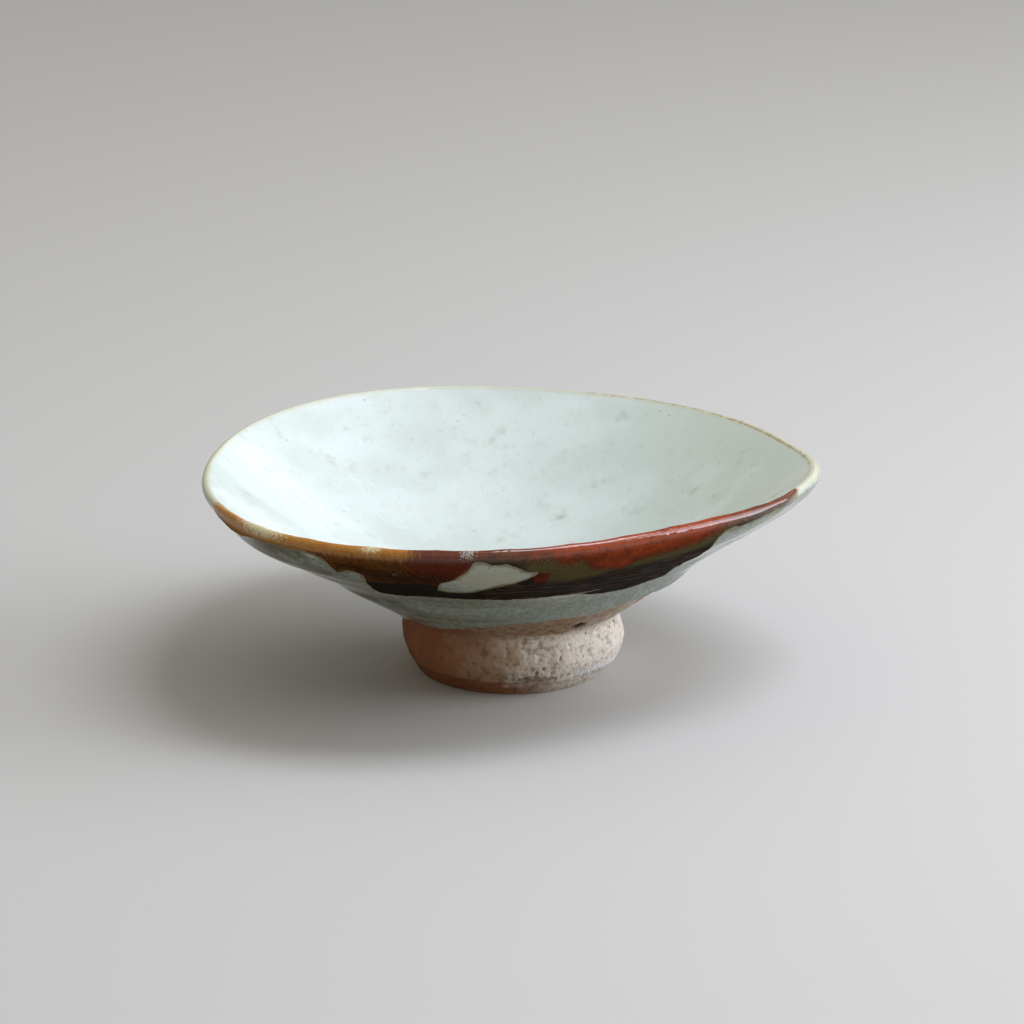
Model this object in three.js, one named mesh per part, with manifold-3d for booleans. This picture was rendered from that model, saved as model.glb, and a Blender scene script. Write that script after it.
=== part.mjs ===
// A shallow summer tea bowl: a thrown and trimmed stoneware bowl on a tall foot ring that was
// luted on, with a pale ash glaze inside and out and two dips of iron glaze over the front of the rim.
// Millimetres, +Z up. The origin is on the table, under the middle of the bowl's outline.
// +X points at the drawn-out tip of the rim and -Y at the side with the iron glaze.
// Heights in the bowl's own sizes are counted from the joint, where its wall meets the foot ring.

import * as THREE from 'three';
import { mergeVertices } from 'three/addons/utils/BufferGeometryUtils.js';
import Module from 'manifold-3d';

const wasm = await Module();
wasm.setup();

// Bowl wall, measured over the glaze. The lip's arc turns through lipTurn degrees.
const rimRadius = 73.4;
const rimHeight = 36.4;
const lipRadius = 1.3;
const lipTurn = 135;
const wallThickness = 4.0;
const floorThickness = 7.5;
const ridgeRadius = 43.0;
const ridgeHeight = 11.5;
const ridgeStep = 2.6;

// Handles of the wall's curves. The outer ones are shares of the way out and up from the ridge to
// the lip, and the floor's is a share of the ridge's radius.
const lowHandle = { out: 0.17, up: 0.21 };
const highHandle = { out: 0.974, up: 0.68 };
const floorHandle = 0.7;
const flareStation = 0.5;
const flareShare = 0.75;

// Foot ring
const footHeight = 14.8;
const jointRadius = 26.4;
const footBellyRadius = 27.1;
const footBellyHeight = 8.2;
const footBevelRadius = 25.6;
const footBevelHeight = 3.9;
const footBaseRadius = 22.7;
const recessRadius = 15.5;
const recessBevel = 1.6;
const baseDrop = 3.3;
const nubRadius = 4.5;
const nubHeight = 1.5;
const footSway = 0.6;

// Coats and the thin gaps that keep neighbouring solids apart
const glazeThickness = 0.5;
const ironThickness = 0.4;
const ironEdgeThickness = 0.7;
const slipThickness = 0.5;
const slipSetback = 0.6;
const coatGap = 0.1;

// How the potter's hands left the rim: each pull moves it out by reach, times round, towards an angle
const rimPulls = [
  { times: 1, reach: 3.3, towards: 180 },
  { times: 2, reach: 1.83, towards: 18.4 },
  { times: 3, reach: 3.58, towards: -2.8 },
  { times: 5, reach: 0.6, towards: -11.9 },
  { times: 6, reach: 0.33, towards: -12 },
];
const pullSpread = 1.25;
const bellyLean = 1.7;
const bellyLeanPlace = 1.7;

// Lower edge of the pale outside coat: angle round the bowl, and distance up the wall from the joint
const glazeLine = [
  [-180, 1.4], [-150, 2.0], [-130, 3.6], [-110, 8.0], [-90, 13.5], [-60, 15.0], [-40, 18.5], [-15, 19.4],
  [0, 19.0], [30, 15.0], [60, 9.0], [90, 5.0], [130, 2.5], [180, 1.4],
];

// Outlines of the iron glaze seen from the front: distance across, and drop below the lip
const ironOutline = [
  [-68.5, 1.2], [-60, 2.1], [-52, 3.0], [-47, 3.6], [-43.5, 6.4], [-41.2, 11.4], [-36.3, 9.0], [-32, 15.4],
  [-26, 16.9], [-9, 17.4], [8, 17.8], [17.5, 19.8], [27, 21.6], [36, 20.2], [40, 20.6], [43.5, 15.6],
  [47.4, 12.6], [49.2, 6.9], [52.8, 3.9], [61, 1.8], [69, 0.8],
];
const windowOutline = [
  [-16.9, 13.2], [-9.2, 14.5], [0.5, 11.8], [6.3, 7.0], [1.5, 4.6], [-3.5, 2.4], [-8.5, 2.4], [-9.3, 5.5],
  [-12.5, 8.5],
];

// How far the iron glaze reaches inside the crest of the lip, and where its two dips meet
const ironInside = 1.5;
const dipSplit = -7.5;

// Fineness of the meshes
const segments = 60;
const curveSteps = { inside: 9, lip: 4, wall: 7, ridge: 1, lower: 3, nub: 3, footSide: 5 };
const lipCrowding = 1.6;
const slopeShare = 1 / 6;

const degree = Math.PI / 180;

// The section of the visible skin: from the middle of the inside floor, up over the lip and down
// the outside to the joint. Vector2 holds the distance from the axis and the height.
const lipCentre = new THREE.Vector2(rimRadius - lipRadius, rimHeight - lipRadius);
const lipSweep = lipTurn * degree;
const joint = new THREE.Vector2(jointRadius, 0);
const ridgeFoot = new THREE.Vector2(ridgeRadius, ridgeHeight);
const ridgeTop = new THREE.Vector2(ridgeRadius + ridgeStep, ridgeHeight + ridgeStep);
const lipOutside = new THREE.Vector2(rimRadius, lipCentre.y);
const lipInside = new THREE.Vector2(lipRadius, 0).rotateAround(new THREE.Vector2(), lipSweep).add(lipCentre);
const floorHeight = floorThickness - baseDrop;

function handleBetween(start, end, share) {
  const across = THREE.MathUtils.lerp(start.x, end.x, share.out);
  const up = THREE.MathUtils.lerp(start.y, end.y, share.up);
  return new THREE.Vector2(across, up);
}

const outerWall = new THREE.CubicBezierCurve(
  lipOutside,
  handleBetween(ridgeTop, lipOutside, highHandle),
  handleBetween(ridgeTop, lipOutside, lowHandle),
  ridgeTop,
);

// The inside is one curve from the level floor to the lip. At the flare it runs one wall thickness
// inside the outer wall, which gives the place of its upper handle.
function insideCurve() {
  const along = outerWall.getTangentAt(flareStation);
  const inward = new THREE.Vector2(along.y, -along.x).multiplyScalar(wallThickness);
  const flare = outerWall.getPointAt(flareStation).add(inward);
  const floorMiddle = new THREE.Vector2(0, floorHeight);
  const low = new THREE.Vector2(ridgeRadius * floorHandle, floorHeight);
  const rest = 1 - flareShare;
  const high = flare.clone()
    .addScaledVector(floorMiddle, -(rest ** 3))
    .addScaledVector(low, -3 * rest ** 2 * flareShare)
    .addScaledVector(lipInside, -(flareShare ** 3))
    .divideScalar(3 * rest * flareShare ** 2);
  return new THREE.CubicBezierCurve(floorMiddle, low, high, lipInside);
}

const innerWall = insideCurve();
const lipArc = new THREE.EllipseCurve(lipCentre.x, lipCentre.y, lipRadius, lipRadius, lipSweep, 0, true);
const skin = new THREE.CurvePath();
skin.add(innerWall);
skin.add(lipArc);
skin.add(outerWall);
skin.add(new THREE.LineCurve(ridgeTop, ridgeFoot));
skin.add(new THREE.LineCurve(ridgeFoot, joint));

const skinLength = skin.getLength();
const crest = innerWall.getLength() + lipRadius * (lipSweep - Math.PI / 2);

function skinSpot(along) {
  const share = THREE.MathUtils.clamp(along / skinLength, 0, 1);
  return skin.getPointAt(share);
}

// A point at a distance along the skin's section, sunk by depth into the clay. A negative depth raises it.
function skinPoint(along, depth) {
  const reach = lipRadius * slopeShare;
  const direction = skinSpot(along + reach).sub(skinSpot(along - reach)).normalize();
  const outward = new THREE.Vector2(-direction.y, direction.x);
  const point = skinSpot(along).addScaledVector(outward, -depth);
  if (along === 0) {
    point.x = 0;
  }
  return point;
}

// Distances along the skin at which every layer has its points, so that layers stay parallel
function skinStations() {
  const steps = [curveSteps.inside, curveSteps.lip, curveSteps.wall, curveSteps.ridge, curveSteps.lower];
  const stations = [0];
  skin.curves.forEach((curve, index) => {
    const start = stations.at(-1);
    const crowding = curve === outerWall ? lipCrowding : 1;
    for (let step = 1; step <= steps[index]; step += 1) {
      stations.push(start + curve.getLength() * (step / steps[index]) ** crowding);
    }
  });
  return stations;
}

const stations = skinStations();

// Hand shaping: the wall goes out of round towards the rim, and its belly leans away from the tip
function shapedRadius(radius, angle) {
  const share = THREE.MathUtils.clamp((radius - jointRadius) / (rimRadius - jointRadius), 0, 1);
  let pull = 0;
  for (const { times, reach, towards } of rimPulls) {
    pull += reach * Math.cos(times * (angle - towards * degree));
  }
  const lean = -bellyLean * Math.cos(angle) * Math.sin(Math.PI * share ** bellyLeanPlace);
  return radius + pull * share ** pullSpread + lean;
}

function bowlPoint(section, angle) {
  const radius = shapedRadius(section.x, angle);
  return new THREE.Vector3(radius * Math.cos(angle), radius * Math.sin(angle), section.y);
}

// The foot ring bulges a little more towards the tip of the bowl, but not at its base or its seat
function swayedRadius(radius, height, angle) {
  const share = THREE.MathUtils.clamp(height / (footHeight - baseDrop - slipThickness - coatGap), 0, 1);
  return radius + footSway * Math.sin(Math.PI * share) * Math.cos(angle);
}

// Turns a section round the axis, Z up, and then lets a function move each point out or in
function turned(section, radiusAt) {
  const geometry = new THREE.LatheGeometry(section, segments);
  geometry.rotateX(Math.PI / 2);
  const position = geometry.attributes.position;
  for (let index = 0; index < position.count; index += 1) {
    const radius = Math.hypot(position.getX(index), position.getY(index));
    const angle = Math.atan2(position.getY(index), position.getX(index));
    const moved = radius > 0 ? radiusAt(radius, position.getZ(index), angle) / radius : 0;
    position.setX(index, position.getX(index) * moved);
    position.setY(index, position.getY(index) * moved);
  }
  geometry.computeVertexNormals();
  return geometry;
}

// Height at which the cone of the lower wall would stand at a radius, for the seat under the bowl
const underSlope = ridgeHeight / (ridgeRadius - jointRadius);
const kneeRadius = jointRadius - baseDrop / underSlope;

// The seat between bowl and foot ring, lowered by depth: a flat middle and the cone of the wall
function seatLine(innerRadius, outerRadius, depth) {
  const coneDrop = depth * Math.hypot(1, underSlope);
  const knee = kneeRadius + (coneDrop - depth) / underSlope;
  return [
    new THREE.Vector2(innerRadius, -baseDrop - depth),
    new THREE.Vector2(knee, -baseDrop - depth),
    new THREE.Vector2(outerRadius, (outerRadius - jointRadius) * underSlope - coneDrop),
  ];
}

const clayDepth = glazeThickness + coatGap;

function clayBowl() {
  const outside = stations.map((along) => skinPoint(along, clayDepth));
  const claySeat = seatLine(recessRadius, jointRadius, -clayDepth);
  const nub = new THREE.QuadraticBezierCurve(
    new THREE.Vector2(nubRadius, claySeat[0].y),
    new THREE.Vector2(nubRadius / 2, claySeat[0].y - nubHeight),
    new THREE.Vector2(0, claySeat[0].y - nubHeight),
  );
  const section = [...outside, claySeat[1], claySeat[0], ...nub.getPoints(curveSteps.nub)];
  return turned(section.reverse(), (radius, height, angle) => shapedRadius(radius, angle));
}

function insideGlaze() {
  const along = [...stations.filter((station) => station < crest - coatGap), crest];
  const top = along.map((station) => skinPoint(station, 0));
  const under = along.map((station) => skinPoint(station, glazeThickness));
  const section = [...top, ...under.reverse()];
  return turned(section.reverse(), (radius, height, angle) => shapedRadius(radius, angle));
}

function straightBetween(table, angle) {
  const at = angle / degree;
  const next = table.findIndex(([place]) => place >= at);
  if (next <= 0) {
    return table.at(next)[1];
  }
  const [[fromPlace, from], [toPlace, to]] = [table[next - 1], table[next]];
  return THREE.MathUtils.mapLinear(at, fromPlace, toPlace, from, to);
}

// A coat of glaze on the bowl as one closed solid. columns holds, for each angle round the bowl,
// the points of its section: down the face of the coat and back up behind it.
function coatOf(columns) {
  const rows = columns[0].length;
  const triangles = [];
  columns.forEach((points, column) => {
    const here = column * rows;
    const beside = ((column + 1) % columns.length) * rows;
    for (let row = 0; row < rows; row += 1) {
      const below = (row + 1) % rows;
      triangles.push(here + row, here + below, beside + below);
      triangles.push(here + row, beside + below, beside + row);
    }
  });
  const geometry = new THREE.BufferGeometry().setFromPoints(columns.flat());
  geometry.setIndex(triangles);
  geometry.computeVertexNormals();
  return geometry;
}

function outsideGlaze() {
  const start = crest + coatGap;
  const ridge = skinLength - ridgeFoot.distanceTo(joint);
  const upper = stations.filter((station) => station > start && station < ridge - coatGap);
  const columns = [];
  for (let column = 0; column < segments; column += 1) {
    const angle = (column / segments * 360 - 180) * degree;
    const bare = straightBetween(glazeLine, angle);
    const lower = [];
    for (let row = 0; row <= curveSteps.lower; row += 1) {
      lower.push(THREE.MathUtils.lerp(ridge, skinLength - bare, row / curveSteps.lower));
    }
    const along = [start, ...upper, ...lower];
    const face = along.map((station) => bowlPoint(skinPoint(station, 0), angle));
    const back = along.map((station) => bowlPoint(skinPoint(station, glazeThickness), angle));
    columns.push([...face, ...back.reverse()]);
  }
  return coatOf(columns);
}

function manifoldOf(geometry) {
  const bare = geometry.clone();
  bare.deleteAttribute('normal');
  bare.deleteAttribute('uv');
  const merged = mergeVertices(bare);
  const mesh = new wasm.Mesh({
    numProp: 3,
    vertProperties: new Float32Array(merged.attributes.position.array),
    triVerts: new Uint32Array(merged.index.array),
  });
  return new wasm.Manifold(mesh);
}

function geometryOf(solid) {
  const mesh = solid.getMesh();
  const geometry = new THREE.BufferGeometry();
  geometry.setAttribute('position', new THREE.Float32BufferAttribute(mesh.vertProperties, 3));
  geometry.setIndex([...mesh.triVerts]);
  geometry.computeVertexNormals();
  return geometry;
}

// A block that reaches through the front of the bowl only, with an outline given across and down
function frontBlock(outline) {
  const corners = outline.map(([across, drop]) => new THREE.Vector2(across, rimHeight - drop));
  const depth = rimRadius * 2;
  const geometry = new THREE.ExtrudeGeometry(new THREE.Shape(corners), { depth, bevelEnabled: false });
  geometry.rotateX(Math.PI / 2);
  return manifoldOf(geometry);
}

// The iron coat all round the wall, thicker where it ran down, before it is cut to its outline
function ironCoat() {
  const wallEnd = crest + lipRadius * Math.PI / 2 + outerWall.getLength();
  const top = crest - ironInside;
  const along = [top, ...stations.filter((station) => station > top && station < wallEnd + coatGap)];
  const columns = [];
  for (let column = 0; column < segments; column += 1) {
    const angle = column / segments * 2 * Math.PI;
    const face = along.map((station) => {
      const share = (station - top) / (wallEnd - top);
      const thickness = THREE.MathUtils.lerp(ironThickness, ironEdgeThickness, share);
      return bowlPoint(skinPoint(station, -coatGap - thickness), angle);
    });
    const back = along.map((station) => bowlPoint(skinPoint(station, -coatGap), angle));
    columns.push([...face, ...back.reverse()]);
  }
  return manifoldOf(coatOf(columns));
}

// One dip of the iron glaze: its share of the coat from one distance across to another
function ironDip(from, to) {
  const above = -2 * ironEdgeThickness;
  const outline = [...ironOutline, [ironOutline.at(-1)[0], above], [ironOutline[0][0], above]];
  const side = [[from, rimHeight], [to, rimHeight], [to, above], [from, above]];
  const dip = ironCoat()
    .intersect(frontBlock(outline))
    .intersect(frontBlock(side))
    .subtract(frontBlock(windowOutline));
  return geometryOf(dip);
}

function footRing() {
  const [seatInside, seatKnee, seatOutside] = seatLine(recessRadius, jointRadius, slipThickness + coatGap);
  const lift = (point) => new THREE.Vector2(point.x, point.y + footHeight);
  const restInside = recessRadius + recessBevel;
  const side = new THREE.SplineCurve([
    new THREE.Vector2(footBevelRadius, footBevelHeight),
    new THREE.Vector2(footBellyRadius, footBellyHeight),
    lift(seatOutside),
  ]);
  const section = [
    new THREE.Vector2(restInside, 0),
    new THREE.Vector2(footBaseRadius, 0),
    ...side.getPoints(curveSteps.footSide),
    lift(seatKnee),
    lift(seatInside),
    new THREE.Vector2(recessRadius, recessBevel),
    new THREE.Vector2(restInside, 0),
  ];
  return turned(section, swayedRadius);
}

function jointSlip() {
  const inner = recessRadius + slipSetback;
  const outer = jointRadius - slipSetback;
  const top = seatLine(inner, outer, 0);
  const bottom = seatLine(inner, outer, slipThickness);
  const section = [...bottom, ...top.reverse(), bottom[0].clone()];
  return turned(section, (radius, height, angle) => radius);
}

function glazed(color, roughness) {
  return new THREE.MeshStandardMaterial({ color, roughness, metalness: 0 });
}

function named(name, geometry, material) {
  const mesh = new THREE.Mesh(geometry, material);
  mesh.name = name;
  return mesh;
}

const coarseClay = glazed('#a5856a', 0.9);
const paleGlaze = glazed('#d3dcd6', 0.25);
const ochreGlaze = glazed('#8a5a24', 0.25);
const rustGlaze = glazed('#8c3f20', 0.25);

const bowl = new THREE.Group();
bowl.position.z = footHeight;
bowl.add(named('clay_bowl', clayBowl(), coarseClay));
bowl.add(named('inside_glaze', insideGlaze(), paleGlaze));
bowl.add(named('outside_glaze', outsideGlaze(), paleGlaze));
bowl.add(named('iron_dip_left', ironDip(-rimRadius, dipSplit - coatGap / 2), ochreGlaze));
bowl.add(named('iron_dip_right', ironDip(dipSplit + coatGap / 2, rimRadius), rustGlaze));
bowl.add(named('joint_slip', jointSlip(), coarseClay));

const teaBowl = new THREE.Group();
teaBowl.add(bowl);
teaBowl.add(named('foot_ring', footRing(), coarseClay));

const middle = new THREE.Box3().setFromObject(teaBowl).getCenter(new THREE.Vector3());
teaBowl.position.set(-middle.x, -middle.y, 0);

export default teaBowl;
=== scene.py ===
"""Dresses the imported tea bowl: clay, slip, ash glaze and iron glaze over the CAD solids.

Shapes are worked out in millimetres round the bowl's own axis, with heights counted from the joint
where the bowl meets its foot ring, and are turned into metres in the frame when a mesh is made.
A place on the wall is an angle round the bowl and a run: the distance down the outside from the
crest of the lip, negative on the inside.
"""

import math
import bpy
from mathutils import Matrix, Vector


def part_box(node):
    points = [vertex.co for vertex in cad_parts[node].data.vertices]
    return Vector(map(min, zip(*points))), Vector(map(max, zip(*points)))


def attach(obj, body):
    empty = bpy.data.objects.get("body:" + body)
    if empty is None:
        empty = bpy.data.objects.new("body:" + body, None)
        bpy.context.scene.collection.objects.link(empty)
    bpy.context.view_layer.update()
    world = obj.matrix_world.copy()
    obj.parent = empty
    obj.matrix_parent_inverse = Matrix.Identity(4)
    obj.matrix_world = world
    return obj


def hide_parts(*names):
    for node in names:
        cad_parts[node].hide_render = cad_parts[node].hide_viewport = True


bl_info = {
    "name": "Shallow tea bowl",
    "version": (1, 0, 0),
    "blender": (4, 5, 0),
    "location": "3D View > Sidebar > Tea bowl",
    "description": "Builds a hand-thrown shallow tea bowl with its glazes, piece by piece",
    "category": "Object",
}

from collections import namedtuple

import bmesh
import bpy
import numpy as np
from bpy.props import FloatProperty, FloatVectorProperty, PointerProperty
from mathutils import Vector, noise

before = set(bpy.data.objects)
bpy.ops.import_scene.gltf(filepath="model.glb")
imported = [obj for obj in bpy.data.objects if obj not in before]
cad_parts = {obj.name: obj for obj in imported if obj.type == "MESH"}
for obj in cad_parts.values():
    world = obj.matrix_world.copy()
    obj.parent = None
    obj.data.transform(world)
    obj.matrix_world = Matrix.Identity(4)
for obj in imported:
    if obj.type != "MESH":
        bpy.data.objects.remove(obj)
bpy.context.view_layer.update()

MM = 0.001
BODY = "root"

# The slip between bowl and foot ring is round, so its middle is the bowl's axis
slip_low, slip_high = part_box("joint_slip")
AXIS = ((slip_low.x + slip_high.x) / 2, (slip_low.y + slip_high.y) / 2)


def linear(hex_colour):
    """Turns an sRGB hex colour into linear red, green and blue."""
    channels = [int(hex_colour[place:place + 2], 16) / 255 for place in (1, 3, 5)]
    return [c / 12.92 if c <= 0.04045 else ((c + 0.055) / 1.055) ** 2.4 for c in channels]


def as_linear(tint):
    """A colour written in hex, or one of the bowl's own colours, which are linear already."""
    return linear(tint) if isinstance(tint, str) else tint


def length(name, description, millimetres):
    """A length that the panel shows, written here in millimetres."""
    return FloatProperty(name=name, description=description, default=millimetres * MM, unit="LENGTH")


def colour(name, description, hex_colour):
    """A colour that the panel shows, written here as sRGB hex."""
    return FloatVectorProperty(
        name=name, description=description, default=linear(hex_colour), min=0, max=1, subtype="COLOR")


class BowlSizes(bpy.types.PropertyGroup):
    """Driving sizes of the clay and its coats"""

    rim_radius: length("Rim radius", "Outside of the lip before the rim was shaped by hand", 73.4)
    rim_height: length("Rim height", "Crest of the lip above the joint with the foot ring", 36.4)
    lip_radius: length("Lip radius", "Roundness of the lip", 1.3)
    wall: length("Wall thickness", "Thickness of the wall halfway up", 4.0)
    floor: length("Floor thickness", "Thickness of clay over the foot's recess", 7.5)
    foot_height: length("Foot height", "Height of the joint above the foot's base", 14.8)
    glaze: length("Ash glaze thickness", "Thickness of the pale ash glaze", 0.5)
    iron: length("Iron glaze thickness", "Thickness of the iron glaze over the ash glaze", 0.5)


class BowlColours(bpy.types.PropertyGroup):
    """Main colours of the clay and the glazes"""

    clay: colour("Clay", "Bare fired stoneware", "#B9977B")
    ash_glaze: colour("Ash glaze", "Pale ash glaze where it is thick", "#D3DED9")
    ochre: colour("Ochre", "Iron glaze where it is thin over the lip", "#B0711C")
    rust: colour("Rust", "Iron glaze where it crystallised red", "#A93E16")
    black: colour("Black", "Iron glaze where it pooled", "#29221D")


# The wall's section: angle of the lip's arc, the ridge, and shares along the way for each curve's handles
LIP_TURN = math.radians(135)
RIDGE_RADIUS = 43.0
RIDGE_HEIGHT = 11.5
RIDGE_STEP = 2.6
LOW_HANDLE = (0.17, 0.21)
HIGH_HANDLE = (0.974, 0.68)
FLOOR_HANDLE = 0.7
FLARE_STATION = 0.5
FLARE_SHARE = 0.75
RIDGE_SOFTENING = 0.9
SECTION_SAMPLES = {"inside": 1600, "lip": 200, "wall": 1200, "ridge": 80, "lower": 400}

# The foot ring and the seat under the bowl
JOINT_RADIUS = 26.4
LOW_SLOPE = RIDGE_HEIGHT / (RIDGE_RADIUS - JOINT_RADIUS)
FOOT_BELLY = (27.1, 8.2)
FOOT_BEVEL = (25.6, 3.9)
FOOT_BASE_RADIUS = 22.7
RECESS_RADIUS = 15.5
RECESS_BEVEL = 1.6
BASE_DROP = 3.3
NUB_RADIUS = 4.5
NUB_HEIGHT = 1.5
FOOT_SWAY = 0.6
SMEAR_RADIUS = 28.6
SLIP_THICKNESS = 0.5
SLIP_INSET = 0.6
COAT_GAP = 0.1

# How the potter's hands left the rim: times round, reach in millimetres, and towards which angle
RIM_PULLS = [(1, 3.3, 180), (2, 1.83, 18.4), (3, 3.58, -2.8), (5, 0.6, -11.9), (6, 0.33, -12)]
PULL_SPREAD = 1.25
BELLY_LEAN = 1.7
BELLY_LEAN_PLACE = 1.7

# Where the potter's palms pressed the wall in: towards which angle, how wide in degrees, how far from
# the crest of the lip, over what reach, and how deep
PALM_PRESSES = [
    (-150, 12, 6, 5, 1.9), (-135, 11, 22, 5, 0.9), (-15, 9, 0, 6, 1.5), (-19, 10, 7, 5, 1.9),
    (-25, 12, 15, 6, 1.9), (-32, 14, 25, 6, 1.3), (15, 9, 0, 6, 0.9), (-5, 7, 0, 6, 0.6),
    (-125, 5, 13, 4, 1.1),
]

# Lower edge of the ash glaze outside: angle, and distance up the wall from the joint
GLAZE_LINE = [
    (-180, 1.4), (-150, 2.0), (-130, 3.6), (-110, 8.0), (-90, 13.5), (-60, 15.0), (-40, 18.5), (-15, 19.4),
    (0, 19.0), (30, 15.0), (60, 9.0), (90, 5.0), (130, 2.5), (180, 1.4),
]

# Outline of the iron glaze and of the window left bare in it: angle and run. The two dips meet at an angle.
IRON_OUTLINE = [
    (-154.5, -0.9), (-155, 1.5), (-153.5, 4.5), (-152, 6.8), (-149.5, 7.6), (-146, 6.3), (-143, 5.2),
    (-139, 3.9), (-136, 3.5), (-133, 3.1), (-130, 3.3), (-127.5, 3.1), (-125.6, 3.3), (-124.2, 3.9),
    (-123.4, 5.0), (-123.2, 7.2), (-123.9, 10.8), (-122.8, 11.2), (-121.2, 8.9), (-119.2, 7.9), (-118, 8.9),
    (-118.2, 11.5), (-119.8, 16), (-121.5, 21.5), (-121, 25.5), (-116.5, 26), (-113, 25.6), (-108, 24.5),
    (-103.8, 25.1), (-99.5, 25.9), (-95, 27), (-90, 27.4), (-85.4, 27.8), (-80.4, 27.2), (-75, 28),
    (-68.2, 30.6), (-64.7, 31.6), (-57.3, 32.8), (-50.8, 31.4), (-43.8, 30.3), (-39.6, 29), (-41.5, 24),
    (-43.3, 19.2), (-41.5, 17), (-40.4, 14.5), (-40.9, 11.2), (-41.5, 9), (-42.5, 6.4), (-42.2, 4.8),
    (-40.9, 3.6), (-38.5, 3.5), (-36.6, 3.9), (-34.2, 3.2), (-31.6, 2.6), (-28.5, 2.4), (-24.6, 2.4),
    (-22, 1.8), (-18.5, 0.9), (-17, 0.1), (-18, -1), (-60, -1), (-110, -0.9),
]
WINDOW_OUTLINE = [
    (-105.6, 19.6), (-103.3, 20.8), (-100.8, 21), (-97.9, 20), (-95, 18), (-92.4, 15.8), (-90.3, 14.6),
    (-88.3, 13.2), (-86.7, 11.2), (-85.4, 9.4), (-84.6, 8), (-85, 7), (-86.5, 7.4), (-88.4, 6.3),
    (-89.7, 4.6), (-90.6, 3.6), (-92.1, 3.8), (-93.5, 3.9), (-94.5, 3.2), (-95.9, 2.9), (-97, 3),
    (-97.4, 4.6), (-98.4, 6.6), (-99.9, 9.2), (-101.7, 11.6), (-103.3, 12), (-105.1, 16.5),
]
DIP_SPLIT = -96.2

# Soft borders inside the iron glaze: angle and run
RUST_LINE = [
    (-97, 2.0), (-89.4, 2.2), (-86.6, 2.9), (-82.8, 2.9), (-79.5, 5.4), (-76.4, 4.4), (-74.1, 7.6),
    (-71.5, 9.6), (-66.2, 11.1), (-62.4, 7.8), (-58.7, 7.5), (-55, 7.0), (-50.2, 6.2), (-46.8, 5.0),
    (-43.7, 3.4), (-40.3, 2.2), (-36.5, 1.7), (-30.4, 1.4), (-22.8, 1.5),
]
OLIVE_LINE = [
    (-97, 2.6), (-88, 4.5), (-84, 13.6), (-77.2, 15.4), (-72.7, 14.3), (-68.6, 12.2), (-63.5, 11.8),
    (-59.6, 11.7), (-55.6, 11.3), (-50.3, 11), (-45.6, 9.5), (-43.6, 7.4), (-41, 5.0), (-36, 2.6),
]
POOL_LINE = [
    (-126, 15.5), (-121, 11.5), (-118, 11.2), (-117.1, 12.8), (-114.4, 13), (-111.4, 12.2), (-107.5, 11.7),
    (-104.7, 12.5), (-103, 17), (-96, 17),
]

# Slant of the wall taken as a cone, which is unrolled to measure distances along it
WALL_SLANT = 0.757

# Points in each row that runs once round the bowl
COLUMNS = 560

# Spreads the middles of neighbouring grains over different cells of the noise that draws their lots
GRAIN_LOTS = 7.3

# How far apart throwing rings lie, and how high rings and dents are outside and inside
RING_SPACING = 4.6
OUTSIDE_MARKS = (0.035, 0.12)
INSIDE_MARKS = (0.006, 0.07)


def bezier(corners, count):
    """Points along a cubic curve given by its two ends and the handles between them."""
    share = np.linspace(0, 1, count)[:, None]
    rest = 1 - share
    weights = (rest ** 3, 3 * rest ** 2 * share, 3 * rest * share ** 2, share ** 3)
    return sum(weight * np.array(corner, float) for weight, corner in zip(weights, corners))


def stretched(path):
    """Distance along a path of points, from its first one."""
    return np.concatenate([[0], np.cumsum(np.hypot(*np.diff(path, axis=0).T))])


def smooth_step(start, end, value):
    """Rises softly from 0 at the start to 1 at the end, which may lie below the start."""
    share = np.clip((value - start) / (end - start), 0, 1)
    return share * share * (3 - 2 * share)


def blob(value, centre, reach):
    """A soft weight that is 1 at the centre and fades over the reach."""
    return np.exp(-((value - centre) / reach) ** 2)


def bearing(points):
    """Angle in degrees of points round the axis."""
    return np.degrees(np.arctan2(points[..., 1], points[..., 0]))


def round_axis(radius, angle, height):
    """Points at distances from the axis, angles and heights."""
    return np.stack([radius * np.cos(angle), radius * np.sin(angle), height + 0 * radius * angle], -1)


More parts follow.
